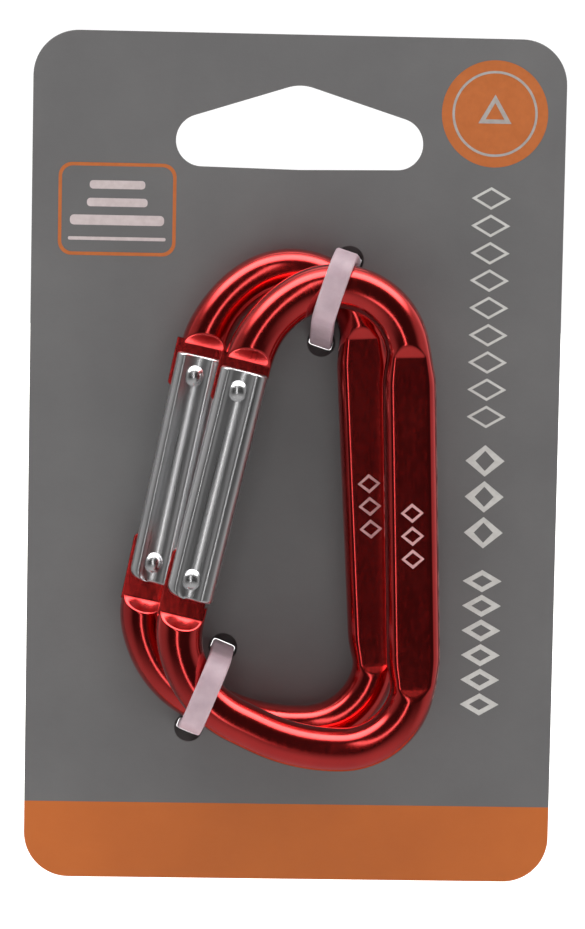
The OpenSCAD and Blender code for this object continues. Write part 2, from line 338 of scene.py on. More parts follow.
def add_sweep(bm, rings, closed=False):
    """Skins a list of rings of points, capped at both ends unless it closes on itself."""
    loops = [[bm.verts.new(p) for p in ring] for ring in rings]
    skin(bm, loops + [loops[0]] if closed else loops)
    if not closed:
        bm.faces.new(loops[0][::-1])
        bm.faces.new(loops[-1])


def add_prism(bm, outline, low, high):
    """A straight prism of a flat outline, from z = low to z = high."""
    add_sweep(bm, [[(x, y, low) for x, y in outline], [(x, y, high) for x, y in outline]])


def add_frame_prism(bm, outer, inner, low, high):
    """A prism between two outlines with as many points each, such as a thin border."""
    rings = [
        [(x, y, low) for x, y in outer], [(x, y, high) for x, y in outer],
        [(x, y, high) for x, y in inner], [(x, y, low) for x, y in inner],
    ]
    add_sweep(bm, rings, closed=True)


def add_lathe(bm, profile, matrix, segments=48):
    """Turns (radius, height) pairs about z, in the frame that matrix gives."""
    rings = []
    for r, h in profile:
        rings.append([
            matrix @ Vector((r * math.cos(a), r * math.sin(a), h))
            for a in (2 * math.pi * i / segments for i in range(segments))
        ])
    add_sweep(bm, rings)


def arc(cx, cy, r, start, end, steps):
    """Points on an arc, ends included, with the angles in degrees."""
    return [
        (cx + r * math.cos(math.radians(a)), cy + r * math.sin(math.radians(a)))
        for a in (start + (end - start) * i / steps for i in range(steps + 1))
    ]


def smooth_min(a, b, k):
    h = max(k - abs(a - b), 0) / k
    return min(a, b) - h * h * k / 4


def smooth_max(a, b, k):
    return -smooth_min(-a, -b, k)


def smooth_step(t):
    t = min(max(t, 0), 1)
    return t * t * (3 - 2 * t)


def apply_modifiers(obj):
    """Replaces the mesh with what its modifiers make of it."""
    graph = bpy.context.evaluated_depsgraph_get()
    made = bpy.data.meshes.new_from_object(obj.evaluated_get(graph))
    obj.modifiers.clear()
    obj.data = made


def cut(obj, cutters):
    """Takes each cutter's shape out of obj, then removes the cutters."""
    for cutter in cutters:
        boolean = obj.modifiers.new("cut", "BOOLEAN")
        boolean.operation = "DIFFERENCE"
        boolean.solver = "EXACT"
        boolean.object = cutter
    apply_modifiers(obj)
    for cutter in cutters:
        bpy.data.objects.remove(cutter)


def bevel(obj, width):
    """Rounds every edge that turns by more than 40 degrees."""
    modifier = obj.modifiers.new("bevel", "BEVEL")
    modifier.width = width
    modifier.segments = 2
    modifier.limit_method = "ANGLE"
    modifier.angle_limit = math.radians(40)
    apply_modifiers(obj)


def smooth(obj, angle):
    """Shades smooth, apart from edges that turn by more than angle degrees."""
    mesh = obj.data
    mesh.shade_smooth()
    mesh.set_sharp_from_angle(angle=math.radians(angle))
    normals = obj.modifiers.new("normals", "WEIGHTED_NORMAL")
    normals.keep_sharp = True
    apply_modifiers(obj)


def place(obj, matrix, body, material, node=None):
    """Puts a finished mesh in the row frame and says what it rides on and stands for."""
    obj.data.transform(matrix)
    obj.data.materials.clear()
    obj.data.materials.append(material)
    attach(obj, body)
    if node:
        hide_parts(node)
    return obj


# ---------------------------------------------------------------- materials
# Noise scales are in features a metre along each axis, and bump distances are in metres.

class Tree:
    """A node tree, with short calls for the nodes that materials and the studio share."""

    def __init__(self, owner):
        owner.use_nodes = True
        self.nodes, self.links = owner.node_tree.nodes, owner.node_tree.links

    def math(self, operation, a, b=0.0):
        node = self.nodes.new("ShaderNodeMath")
        node.operation = operation
        for socket, value in zip(node.inputs, (a, b)):
            if isinstance(value, (int, float)):
                socket.default_value = value
            else:
                self.links.new(value, socket)
        return node.outputs["Value"]

    def map_range(self, value, start, end, low, high, kind="LINEAR"):
        """A number that goes from low, where value is start, to high, where it is end."""
        node = self.nodes.new("ShaderNodeMapRange")
        node.interpolation_type = kind
        for name, number in (("From Min", start), ("From Max", end), ("To Min", low), ("To Max", high)):
            node.inputs[name].default_value = number
        self.links.new(value, node.inputs["Value"])
        return node.outputs["Result"]


class Shader(Tree):
    """A material's node tree."""

    def __init__(self, name):
        self.material = bpy.data.materials.new(name)
        super().__init__(self.material)
        self.out = self.nodes["Principled BSDF"]
        coords = self.nodes.new("ShaderNodeTexCoord")
        self.position = coords.outputs["Object"]

    def set(self, **values):
        for name, value in values.items():
            self.out.inputs[name.replace("_", " ")].default_value = value

    def mapped(self, scale, rotation=(0, 0, 0)):
        """Coordinates turned by rotation and then scaled, so that a grain can follow a leaning part."""
        node = self.nodes.new("ShaderNodeMapping")
        node.vector_type = "TEXTURE"
        node.inputs["Scale"].default_value = [1 / value for value in scale]
        node.inputs["Rotation"].default_value = rotation
        self.links.new(self.position, node.inputs["Vector"])
        return node.outputs["Vector"]

    def noise(self, vector, detail=3.0, rough=0.5):
        node = self.nodes.new("ShaderNodeTexNoise")
        node.inputs["Scale"].default_value = 1
        node.inputs["Detail"].default_value = detail
        node.inputs["Roughness"].default_value = rough
        self.links.new(vector, node.inputs["Vector"])
        return node.outputs["Fac"]

    def ramp(self, value, dark, light):
        """A colour between dark and light, from a noise value."""
        node = self.nodes.new("ShaderNodeValToRGB")
        for element, position, colour in zip(node.color_ramp.elements, NOISE_SPAN, (dark, light)):
            element.position, element.color = position, (*colour, 1)
        self.links.new(value, node.inputs["Fac"])
        return node.outputs["Color"]

    def spread(self, value, low, high):
        """A number between low and high, from a noise value."""
        return self.map_range(value, *NOISE_SPAN, low, high)

    def mix(self, factor, a, b):
        node = self.nodes.new("ShaderNodeMix")
        node.data_type = "RGBA"
        self.links.new(factor, node.inputs["Factor"])
        for name, value in (("A", a), ("B", b)):
            socket = [s for s in node.inputs if s.name == name and s.type == "RGBA"][0]
            if isinstance(value, tuple):
                socket.default_value = (*value, 1)
            else:
                self.links.new(value, socket)
        return [s for s in node.outputs if s.type == "RGBA"][0]

    def axis(self, name):
        node = self.nodes.new("ShaderNodeSeparateXYZ")
        self.links.new(self.position, node.inputs["Vector"])
        return node.outputs[name]

    def link(self, value, name):
        self.links.new(value, self.out.inputs[name])

    def bump(self, height, strength, distance):
        node = self.nodes.new("ShaderNodeBump")
        node.inputs["Strength"].default_value = strength
        node.inputs["Distance"].default_value = distance
        self.links.new(height, node.inputs["Height"])
        self.link(node.outputs["Normal"], "Normal")


def anodised_red():
    """Polished and anodised aluminium under a clear gloss, with a faint grain."""
    shader = Shader("red_anodised")
    broad = shader.noise(shader.mapped((180, 180, 180)), detail=4)
    fine = shader.noise(shader.mapped((2600, 2600, 900)), detail=5, rough=0.6)
    shader.link(shader.ramp(broad, (0.70, 0.020, 0.020), (0.84, 0.034, 0.030)), "Base Color")
    shader.link(shader.spread(fine, 0.13, 0.21), "Roughness")
    shader.bump(fine, 0.10, 0.00004)
    shader.set(Metallic=1.0, Coat_Weight=0.7, Coat_Roughness=0.12, Coat_IOR=1.6)
    return shader.material


def gate_metal(name, lean):
    """Bare aluminium with fine drawing lines along the gate, which leans by lean radians."""
    shader = Shader(name)
    drawn = shader.noise(shader.mapped((3600, 3600, 60), (0, lean, 0)), detail=3, rough=0.5)
    cloud = shader.noise(shader.mapped((260, 260, 120)), detail=3)
    shader.link(shader.ramp(cloud, (0.80, 0.81, 0.82), (0.94, 0.94, 0.95)), "Base Color")
    shader.link(shader.spread(drawn, 0.26, 0.36), "Roughness")
    shader.bump(drawn, 0.10, 0.00002)
    shader.set(Metallic=1.0)
    return shader.material


def turned_metal(name, dark, light, roughness):
    """Small turned or drawn parts with a fine grain."""
    shader = Shader(name)
    grain = shader.noise(shader.mapped((1800, 1800, 1800)), detail=4, rough=0.6)
    shader.link(shader.ramp(grain, dark, light), "Base Color")
    shader.link(shader.spread(grain, roughness - 0.05, roughness + 0.07), "Roughness")
    shader.bump(grain, 0.10, 0.00003)
    shader.set(Metallic=1.0)
    return shader.material


def nylon():
    """Milky moulded nylon that lets a little light through, tinted pink as painted reflection of the red
    frames.
    """
    shader = Shader("tie_nylon")
    cloud = shader.noise(shader.mapped((500, 500, 500)), detail=4)
    grain = shader.noise(shader.mapped((3500, 3500, 3500)), detail=3)
    # The pink tint in these colours is painted reflection of the red frames on milky nylon
    shader.link(shader.ramp(cloud, (0.37, 0.275, 0.31), (0.46, 0.35, 0.39)), "Base Color")
    shader.link(shader.spread(grain, 0.36, 0.52), "Roughness")
    shader.bump(grain, 0.15, 0.00005)
    shader.set(Subsurface_Weight=0.35, Subsurface_Scale=0.0012, Subsurface_Radius=(1, 0.7, 0.65))
    return shader.material


def card_print():
    """Printed board: grey with an orange band at the foot, and a dark core where it is cut, made this dark
    partly as painted shade for the tie holes' walls.
    """
    shader = Shader("card_print")
    grey_cloud = shader.noise(shader.mapped((60, 60, 60)), detail=5, rough=0.6)
    fibre = shader.noise(shader.mapped((900, 900, 2600)), detail=4, rough=0.6)
    grain = shader.noise(shader.mapped((4200, 4200, 4200)), detail=2)
    grey = shader.ramp(grey_cloud, (0.112, 0.110, 0.112), (0.130, 0.128, 0.129))
    orange = shader.ramp(grey_cloud, (0.41, 0.095, 0.010), (0.47, 0.114, 0.013))
    in_band = shader.math("LESS_THAN", shader.axis("Z"), BAND_TOP * MM)
    face = shader.mix(in_band, grey, orange)
    # The dark cut edge is partly the board's grey core and partly painted shade, to darken the tie holes'
    # walls
    in_core = shader.math("LESS_THAN", shader.math("ABSOLUTE", shader.axis("Y")), CORE_HALF * MM)
    shader.link(shader.mix(in_core, face, (0.045, 0.043, 0.042)), "Base Color")
    shader.link(shader.spread(fibre, 0.42, 0.58), "Roughness")
    shader.bump(shader.math("ADD", fibre, grain), 0.12, 0.00005)
    shader.set(Specular_IOR_Level=0.35)
    return shader.material


def ink(name, dark, light):
    """Ink or an etched mark, slightly uneven."""
    shader = Shader(name)
    grain = shader.noise(shader.mapped((1500, 1500, 1500)), detail=4)
    shader.link(shader.ramp(grain, dark, light), "Base Color")
    shader.link(shader.spread(grain, 0.42, 0.58), "Roughness")
    shader.bump(grain, 0.10, 0.00003)
    return shader.material


# ---------------------------------------------------------------- carabiner geometry

def half_frames(which):
    """Gate frame and carabiner frame of one half, from its hinge and its plunger's slide."""
    along = Vector(joints[which + "_plunger_slide"]["axis"]).normalized()
    through = -FRONT
    inward = through.cross(along)
    pivot = Vector(joints[which + "_gate_hinge"]["pos_m"]) / MM
    gate = Matrix((along, inward, through)).transposed().to_4x4()
    gate.translation = pivot
    lean = math.radians(GATE_LEAN)
    x = along * math.sin(lean) + inward * math.cos(lean)
    y = along * math.cos(lean) - inward * math.sin(lean)
    body = Matrix((x, y, FRONT)).transposed().to_4x4()
    body.translation = pivot - x * HINGE_X - y * HINGE_Y
    return gate, body


def step(pose, radius, amount):
    """The pose after going along a straight, or round an arc by amount degrees."""
    x, y, heading = pose
    if radius == 0:
        a = math.radians(heading)
        return (x + amount * math.cos(a), y + amount * math.sin(a), heading)
    side = math.copysign(radius, amount)
    a, b = math.radians(heading), math.radians(heading + amount)
    return (x + side * (math.sin(b) - math.sin(a)), y + side * (math.cos(a) - math.cos(b)),
            heading + amount)


def rod_segments():
    """All stretches from the nose to the hinge as (radius, amount, start pose, length)."""
    pose = nose_tip()
    found = []
    for radius, amount in NOSE_BENDS + [(0, SPINE_L)] + HINGE_BENDS:
        length = amount if radius == 0 else abs(math.radians(amount)) * radius
        found.append((radius, amount, pose, length))
        pose = step(pose, radius, amount)
    return found


def nose_tip():
    """The pose at the rod's nose end, heading back towards the spine."""
    pose = NOSE_START
    for radius, amount in reversed(NOSE_BENDS):
        pose = step(pose, radius, -amount if radius else amount)
    return (pose[0], pose[1], pose[2] - 180)


def pose_at(segments, s):
    """The pose at distance s along the rod."""
    for radius, amount, pose, length in segments:
        if s <= length:
            return step(pose, radius, amount * s / length)
        s -= length
    radius, amount, pose, length = segments[-1]
    return step(pose, radius, amount)


def along_gate(x, y):
    """How far a point of the carabiner frame lies from the hinge along the closed gate."""
    lean = math.radians(GATE_LEAN)
    return (x - HINGE_X) * math.sin(lean) + (y - HINGE_Y) * math.cos(lean)


def flat_limit(x, y):
    """Half the thickness that the pressed flats leave at a point of the rod. Away from them it is
    more than the rod's radius, so that it has no effect."""
    limit = ROD_R + 1
    if x > SPINE_X / 2:
        above = smooth_max(0, (y - FLAT_TOP) * SPINE_SLOPE, SPINE_BLEND)
        below = smooth_max(0, (FLAT_BOTTOM - y) * SPINE_SLOPE, SPINE_BLEND)
        limit = SPINE_FLAT + max(above, below)
    if x < 0:
        u = along_gate(x, y)
        past = smooth_max(0, HINGE_RAMP - u if u < GATE_SPAN / 2 else u - NOSE_RAMP, TANG_BLEND)
        limit = min(limit, TANG_FLOOR + past * (TANG_SLOPE + TANG_CURVE * past))
    return limit


def rod_stations(segments):
    """Distances along the rod, closer together where it is shaped, and both ends of the spine."""
    lengths = [seg[3] for seg in segments]
    total = sum(lengths)
    spine_start = sum(lengths[:len(NOSE_BENDS)])
    spine_end = spine_start + SPINE_L
    fine = [(0, NOSE_SHAPED), (total - HINGE_SHAPED, total)]
    fine.append([spine_start + d for d in SPINE_TOP_SHAPED])
    fine.append([spine_end + d for d in SPINE_FOOT_SHAPED])
    s, found = 0.0, []
    while s < total:
        found.append(s)
        s += ROD_FINE_STEP if any(a <= s <= b for a, b in fine) else ROD_STEP
    found.append(total)
    return found, spine_start, spine_end


def rod_rings():
    """The rod's sections: round, wider where it is pressed, and cut down to the flats."""
    segments = rod_segments()
    stations, spine_start, spine_end = rod_stations(segments)
    total = stations[-1]
    rings = []
    for s in stations:
        x, y, heading = pose_at(segments, s)
        a = math.radians(heading)
        nx, ny = -math.sin(a), math.cos(a)
        pressed = smooth_step((s - spine_start + PRESS_ABOVE) / PRESS_L)
        pressed *= smooth_step((spine_end + PRESS_BELOW - s) / PRESS_L)
        squeezed = 1 - smooth_step((min(s, total - s) - SQUEEZE_START) / PRESS_L)
        half_w = ROD_R + (SPINE_HALF_W - ROD_R) * pressed + SQUEEZE_SWELL * squeezed
        ring = []
        for i in range(ROD_POINTS):
            t = 2 * math.pi * i / ROD_POINTS
            off = half_w * math.cos(t)
            px, py = x + nx * off, y + ny * off
            w = smooth_min(ROD_R * abs(math.sin(t)), flat_limit(px, py), FLAT_BLEND)
            ring.append((px, py, math.copysign(w, math.sin(t)) if abs(math.sin(t)) > 1e-9 else 0))
        rings.append(ring)
    return rings


def hinge_tang_outline():
    """The tang in the gate frame: a heel that stops the gate, then the cam the plunger runs on."""
    root = HINGE_RAMP - TANG_IN_ROD
    cam = arc(0, PLUNGER_V, CAM_R, -90, CAM_END, 24)
    return [(root, TANG_OUTER), *HINGE_TANG_TIP, *cam, (root, TANG_INNER)]


def nose_tang_outline():
    """The tang in the gate frame: a lip, then the notch that takes the latch rivet."""
    root = NOSE_RAMP + TANG_IN_ROD
    notch = arc(GATE_SPAN, NOTCH_V, NOTCH_R, 180, 360, 16)
    return [(root, TANG_OUTER), *NOSE_TANG_TIP, (GATE_SPAN - NOTCH_R, NOTCH_RIM), *notch,
            (GATE_SPAN + NOTCH_R, TANG_INNER), (root, TANG_INNER)]


def tang(outline, hole=None):
    """A flat tongue, with a hole of that radius for the hinge rivet."""
    bm = bmesh.new()
    add_prism(bm, outline, -TANG_HALF, TANG_HALF)
    obj = new_object("tang", bm)
    if hole:
        through = 5
        bm = bmesh.new()
        add_lathe(bm, [(hole, -through), (hole, through)], Matrix.Identity(4))
        cut(obj, [new_object("cutter", bm)])
    bevel(obj, TANG_EDGE)
    return obj


def join(first, others):
    """Adds the other objects' meshes to the first."""
    bm = bmesh.new()
    for obj in [first, *others]:
        bm.from_mesh(obj.data)
    old = first.data
    first.data = bpy.data.meshes.new(first.name)
    bm.to_mesh(first.data)
    bm.free()
    bpy.data.meshes.remove(old)
    for obj in others:
        bpy.data.objects.remove(obj)
    return first


def carabiner_frame(which, gate, body, material):
    bm = bmesh.new()
    add_sweep(bm, rod_rings())
    rod = new_object(which + "_frame_body", bm)
    tangs = [tang(hinge_tang_outline(), RIVET_R + RIVET_CLEARANCE), tang(nose_tang_outline())]
    to_body = body.inverted() @ gate
    for obj in tangs:
        obj.data.transform(to_body)
    join(rod, tangs)
    smooth(rod, 40)
    return place(rod, TO_METRES @ body, ROOT, material, which + "_frame")


def gate_section():
    """The gate's outline across (v, w), anticlockwise, with the groove down each face."""
    low, high = GATE_V
    flank = GATE_HALF_T - GATE_CORNER
    left = low + GATE_CORNER
    right = high - GATE_CORNER
    steps = 30
    top = arc(right, flank, GATE_CORNER, 0, 90, 14)
    top += [(right + (left - right) * i / steps, GATE_HALF_T) for i in range(1, steps)]
    top += arc(left, flank, GATE_CORNER, 90, 180, 14)
    cupped = []
    for v, w in top:
        inside = GROOVE_R ** 2 - v ** 2
        if inside > 0:
            groove = GROOVE_CENTRE - math.sqrt(inside)
            w = smooth_min(w, groove, GROOVE_BLEND)
        cupped.append((v, w))
    return cupped + [(v, -w) for v, w in reversed(cupped)]


def gate_stations():
    """Distances along the gate, closer together at its rounded ends and heel."""
    ends = [GATE_FILLET * (1 - math.cos(math.radians(a))) for a in (0, 18, 36, 54, 72, 90)]
    stations = [GATE_LOW + d for d in ends]
    u = GATE_LOW + GATE_STEP
    while u < GATE_LOW + HEEL_R:
        stations.append(u)
        u += HEEL_STEP
    u = GATE_LOW + HEEL_R
    while u < GATE_HIGH - GATE_STEP:
        stations.append(u)
        u += GATE_STEP
    return stations + [GATE_HIGH - d for d in reversed(ends)]


def quarter_round(radius, distance):
    """How far a rounded edge has drawn in, at a distance from the edge's end."""
    reach = max(radius - distance, 0)
    return radius - math.sqrt(max(radius ** 2 - reach ** 2, 0))


def gate_rings():
    """The gate's sections, drawn in at both ends and rounded at the outer side of the heel."""
    section = gate_section()
    low, high = GATE_V
    middle_v = (low + high) / 2
    rings = []
    for u in gate_stations():
        inset = quarter_round(GATE_FILLET, min(u - GATE_LOW, GATE_HIGH - u))
        heel = quarter_round(HEEL_R, u - GATE_LOW)
        ring = []
        for v, w in section:
            moved = v - inset * (v - middle_v) / (high - middle_v)
            moved += heel * smooth_step((HEEL_REACH - v) / (HEEL_REACH - low))
            ring.append((u, moved, w * (1 - inset / GATE_HALF_T)))
        rings.append(ring)
    return rings


def box_cutter(low, high):
    """A box from its lowest corner to its highest."""
    bm = bmesh.new()
    (x0, y0, z0), (x1, y1, z1) = low, high
    add_prism(bm, [(x0, y0), (x1, y0), (x1, y1), (x0, y1)], z0, z1)
    return new_object("cutter", bm)


def carabiner_gate(which, gate, material):
    """The gate, slotted for both tangs and bored for the plunger and the rivets."""
    bm = bmesh.new()
    add_sweep(bm, gate_rings())
    obj = new_object(which + "_gate_body_shell", bm)
    far = 8
    bore = bmesh.new()
    axis = Matrix.Translation((0, PLUNGER_V, 0)) @ ALONG_X
    add_lathe(bore, [(BORE_R, 0), (BORE_R, BORE_END)], axis, 32)
    pins = []
    for u in (0, GATE_SPAN):
        pin = bmesh.new()
        add_lathe(pin, [(RIVET_R, -far), (RIVET_R, far)], Matrix.Translation((u, 0, 0)), 32)
        pins.append(new_object("cutter", pin))
    cut(obj, [
        box_cutter((GATE_LOW - far, -far, -SLOT_HALF), (HINGE_SLOT_END, far, SLOT_HALF)),
        box_cutter((LATCH_SLOT_START, -far, -SLOT_HALF), (GATE_HIGH + far, far, SLOT_HALF)),
        new_object("cutter", bore),
        *pins,
    ])
    bevel(obj, 0.06)
    smooth(obj, 35)
    return place(obj, TO_METRES @ gate, which + "_gate_body", material, which + "_gate")


def rivet_profile():
    """Half of the rivet's outline and its mirror image, as (radius, height) pairs.
    A hair of radius is left at the middle of each dome, so that its ring doesn't close up."""
    steps, hair = 14, 0.01
    dome_r = (RIVET_HEAD_R ** 2 + RIVET_DOME ** 2) / (2 * RIVET_DOME)
    centre = RIVET_SEAT + RIVET_DOME - dome_r
    edge = math.degrees(math.asin(RIVET_HEAD_R / dome_r))
    dome = [
        (dome_r * math.sin(math.radians(a)), centre + dome_r * math.cos(math.radians(a)))
        for a in (edge * i / steps + hair for i in range(steps + 1))
    ]
    half = dome + [(RIVET_HEAD_R, RIVET_SEAT - RIVET_RIM), (RIVET_R, RIVET_SEAT - RIVET_UNDERCUT)]
    return half + [(r, -h) for r, h in reversed(half)]


def rivet(name, place_in_gate, gate, body, material, node):
    bm = bmesh.new()
    add_lathe(bm, rivet_profile(), Matrix.Translation(place_in_gate))
    obj = new_object(name, bm)
    smooth(obj, 50)
    return place(obj, TO_METRES @ gate, body, material, node)


def plunger(which, gate, material):
    bm = bmesh.new()
    start = Matrix.Translation((CAM_R + PLUNGER_GAP, PLUNGER_V, 0))
    add_lathe(bm, PLUNGER_PROFILE, start @ ALONG_X, 40)
    obj = new_object(which + "_plunger_pin", bm)
    smooth(obj, 35)
    return place(obj, TO_METRES @ gate, which + "_plunger_body", material,
                 which + "_plunger")


def coil_lift(t, closed):
    """The share of its length that the coil has climbed at t, with its end turns laid flat."""
    share = 1 / SPRING_TURNS
    if t < share:
        return closed * t / share
    if t > 1 - share:
        return 1 - closed * (1 - t) / share
    return closed + (1 - 2 * closed) * (t - share) / (1 - 2 * share)


def spring(which, gate, material):
    """A wire coil with closed ends."""
    low, high = SPRING_START + WIRE_R, BORE_END - WIRE_R
    steps = SPRING_TURNS * SPRING_STEPS
    along = Vector((1, 0, 0))
    rings = []
    for i in range(steps + 1):
        t = i / steps
        a = 2 * math.pi * SPRING_TURNS * t
        u = low + (high - low) * coil_lift(t, 2 * WIRE_R / (high - low))
        out = Vector((0, math.cos(a), math.sin(a)))
        centre = out * (SPRING_R - WIRE_R) + Vector((u, PLUNGER_V, 0))
        rings.append([
            centre + (out * math.cos(b) + along * math.sin(b)) * WIRE_R
            for b in (2 * math.pi * k / WIRE_SIDES for k in range(WIRE_SIDES))
        ])
    bm = bmesh.new()
    add_sweep(bm, rings)
    obj = new_object(which + "_spring_coil", bm)
    smooth(obj, 60)
    place(obj, TO_METRES @ gate, which + "_gate_body", material, which + "_spring")
    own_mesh(obj)
    return obj


def diamond(cx, cy, half_w, half_h):
    return [(cx + half_w, cy), (cx, cy + half_h), (cx - half_w, cy), (cx, cy - half_h)]


def engraving(which, body, material):
    """Three small lozenges marked on the front of the spine's flat."""
    bm = bmesh.new()
    for i in (-1, 0, 1):
        y = MARKS_Y[which] + MARK_PITCH * i
        outer = diamond(SPINE_X, y, MARK_HALF_W, MARK_HALF_H)
        inner = diamond(SPINE_X, y, MARK_HALF_W - MARK_LINE, MARK_HALF_H - MARK_LINE)
        add_frame_prism(bm, outer, inner, SPINE_FLAT - INK_T, SPINE_FLAT + INK_T)
    obj = new_object(which + "_spine_marks", bm)
    return place(obj, TO_METRES @ body, ROOT, material)


def carabiner(which, looks):
    gate, body = half_frames(which)
    lean = math.atan2(gate[0][0], gate[2][0])
    carabiner_frame(which, gate, body, looks["red"])
    carabiner_gate(which, gate, gate_metal(which + "_gate_metal", lean))
    for end, u in (("hinge", 0), ("latch", GATE_SPAN)):
        name = f"{which}_{end}_rivet"
        rivet(name + "_head", (u, 0, 0), gate, which + "_gate_body", looks["rivet"], name)
    plunger(which, gate, looks["brass"])
    spring(which, gate, looks["wire"])
    engraving(which, body, looks["etched"])


# ---------------------------------------------------------------- cable ties

def hull(points):
    """Convex hull of flat points, anticlockwise."""
    points = sorted(set(points))

    def chain(seq):
        found = []
        for p in seq:
            while len(found) > 1 and turn_of(found[-2], found[-1], p) <= 0:
                found.pop()
            found.append(p)
        return found[:-1]

    return chain(points) + chain(points[::-1])


def turn_of(a, b, c):
    return (b[0] - a[0]) * (c[1] - a[1]) - (b[1] - a[1]) * (c[0] - a[0])


def even_loop(points, spacing):
    """Points at even spacing round a closed line."""
    closed = points + [points[0]]
    lengths = [math.dist(a, b) for a, b in zip(closed, closed[1:])]
    total = sum(lengths)
    count = round(total / spacing)
    found, index, passed = [], 0, 0.0
    for k in range(count):
        target = total * k / count
        while passed + lengths[index] < target:
            passed += lengths[index]
            index += 1
        t = (target - passed) / lengths[index]
        a, b = closed[index], closed[index + 1]
        found.append((a[0] + (b[0] - a[0]) * t, a[1] + (b[1] - a[1]) * t))
    return found


def tie_centreline(gap, front_rod, back_rod, rise):
    """The middle of the strap: a taut loop round both rods and through the two holes."""
    grow = STRAP_T / 2
    base = -CARD_T / 2 - BEHIND_CARD + LOOP_CORNER
    edge = STRAP_T / 2 + LOOP_CORNER
    circles = [(x, base, LOOP_CORNER + grow) for x in (edge, gap - edge)]
    for rod, layer in ((front_rod, FRONT_LAYER), (back_rod, BACK_LAYER)):
        for x in (rod[0] + ROD_R, rod[1] - ROD_R):
            circles.append((x, layer + rise, ROD_R + TIE_CLEARANCE + grow))
    points = [p for x, y, r in circles for p in arc(x, y, r, 0, 360, 180)]
    return even_loop(hull(points), OUTLINE_SPACING)


def tie_loop(gap, lean, front_rod, back_rod):
    """The strap's closed loop: a rounded flat section carried round the rods."""
    rise = STRAP_W / 2 * math.sin(math.radians(abs(lean)))
    rise += FRONT_LAYER * (1 / math.cos(math.radians(lean)) - 1)
    line = tie_centreline(gap, front_rod, back_rod, rise)
    half_w, half_t, r = STRAP_W / 2, STRAP_T / 2, STRAP_EDGE
    section = []
    for cx, cy, start in ((1, 1, 0), (-1, 1, 90), (-1, -1, 180), (1, -1, 270)):
        section += arc(cx * (half_w - r), cy * (half_t - r), r, start, start + 90, 5)
    count = len(line)
    rings = []
    for i in range(count):
        (x0, y0), (x1, y1) = line[i - 1], line[(i + 1) % count]
        length = math.dist((x0, y0), (x1, y1))
        nx, ny = (y1 - y0) / length, -(x1 - x0) / length
        x, y = line[i]
        rings.append([(x + nx * t, y + ny * t, w) for w, t in section])
    bm = bmesh.new()
    add_sweep(bm, rings, closed=True)
    return bm


def tie_head():
    """The locking head: a tapered box with an open window that shows the strap's teeth."""
    top = -CARD_T / 2 - BEHIND_CARD
    bottom = top - HEAD_H
    r = HEAD_CORNER
    rings = []
    for depth, inset in HEAD_TAPER:
        x0, x1 = HEAD_START + inset + r, HEAD_START + HEAD_L - inset - r
        y = HEAD_W / 2 - inset - r
        ring = []
        for cx, cy, start in ((x1, y, 0), (x0, y, 90), (x0, -y, 180), (x1, -y, 270)):
            ring += [(px, py, top - depth) for px, py in arc(cx, cy, r, start, start + 90, 5)]
        rings.append(ring)
    bm = bmesh.new()
    add_sweep(bm, rings)
    head = new_object("head", bm)
    middle = HEAD_START + HEAD_L / 2
    near, far = (middle + x for x in WINDOW_SPAN)
    side = STRAP_W / 2 + WINDOW_MARGIN
    cut(head, [box_cutter((near, -side, bottom - 1), (far, side, bottom + WINDOW_DEPTH))])
    bevel(head, HEAD_EDGE)
    bm = bmesh.new()
    add_prism(bm, [(middle + x, bottom + z) for x, z in PAWL], -PAWL_HALF_W, PAWL_HALF_W)
    tongue = new_object("pawl", bm)
    tongue.data.transform(UPRIGHT)
    bevel(tongue, HEAD_EDGE)
    return head, tongue


def tie_tail():
    """The cut end of the strap, with its teeth."""
    top = -CARD_T / 2 - BEHIND_CARD - HEAD_H + TAIL_GAP + STRAP_T
    low = top - STRAP_T
    start, end = HEAD_START - TAIL_L, HEAD_START + TAIL_IN_HEAD
    outline = [(start, top), (start, low)]
    x = start + TOOTH_START
    while x + TOOTH_PITCH < end:
        outline += [(x, low), (x + TOOTH_PITCH * TOOTH_SLOPE, low + TOOTH_DEPTH),
                    (x + TOOTH_PITCH * TOOTH_END, low)]
        x += TOOTH_PITCH
    outline += [(end, low), (end, top)]
    bm = bmesh.new()
    add_prism(bm, outline, -STRAP_W / 2, STRAP_W / 2)
    tail = new_object("tail", bm)
    tail.data.transform(UPRIGHT)
    bevel(tail, TAIL_EDGE)
    return tail


def cable_tie(name, material):
    start, end, lean, front_rod, back_rod = TIES[name]
    run = (end[0] - start[0], end[1] - start[1])
    turn = math.atan2(run[1], run[0])
    frame_of_tie = UPRIGHT @ Matrix.Translation((*start, 0)) @ Matrix.Rotation(turn, 4, "Z")
    loop = new_object(name + "_strap", tie_loop(math.hypot(*run), lean, front_rod, back_rod))
    loop.data.transform(Matrix.Rotation(math.radians(90 + lean), 4, "X"))
    head, tongue = tie_head()
    join(loop, [head, tongue, tie_tail()])
    smooth(loop, 40)
    return place(loop, TO_METRES @ frame_of_tie, ROOT, material, name)


# ---------------------------------------------------------------- card print

def on_card(x, y):
    """Across and up from the card's centre to the flat drawing's coordinates."""
    return (x, y + CARD_CENTRE_Z)


def printed(name, bm, material):
    """Ink on the card's front face, a hair thick."""
    obj = new_object(name, bm)
    return place(obj, TO_METRES @ UPRIGHT, ROOT, material)


def rounded_box(x0, x1, y0, y1, r, steps=8):
    points = arc(x1 - r, y1 - r, r, 0, 90, steps) + arc(x0 + r, y1 - r, r, 90, 180, steps)
    points += arc(x0 + r, y0 + r, r, 180, 270, steps) + arc(x1 - r, y0 + r, r, 270, 360, steps)
    return [on_card(x, y) for x, y in points]


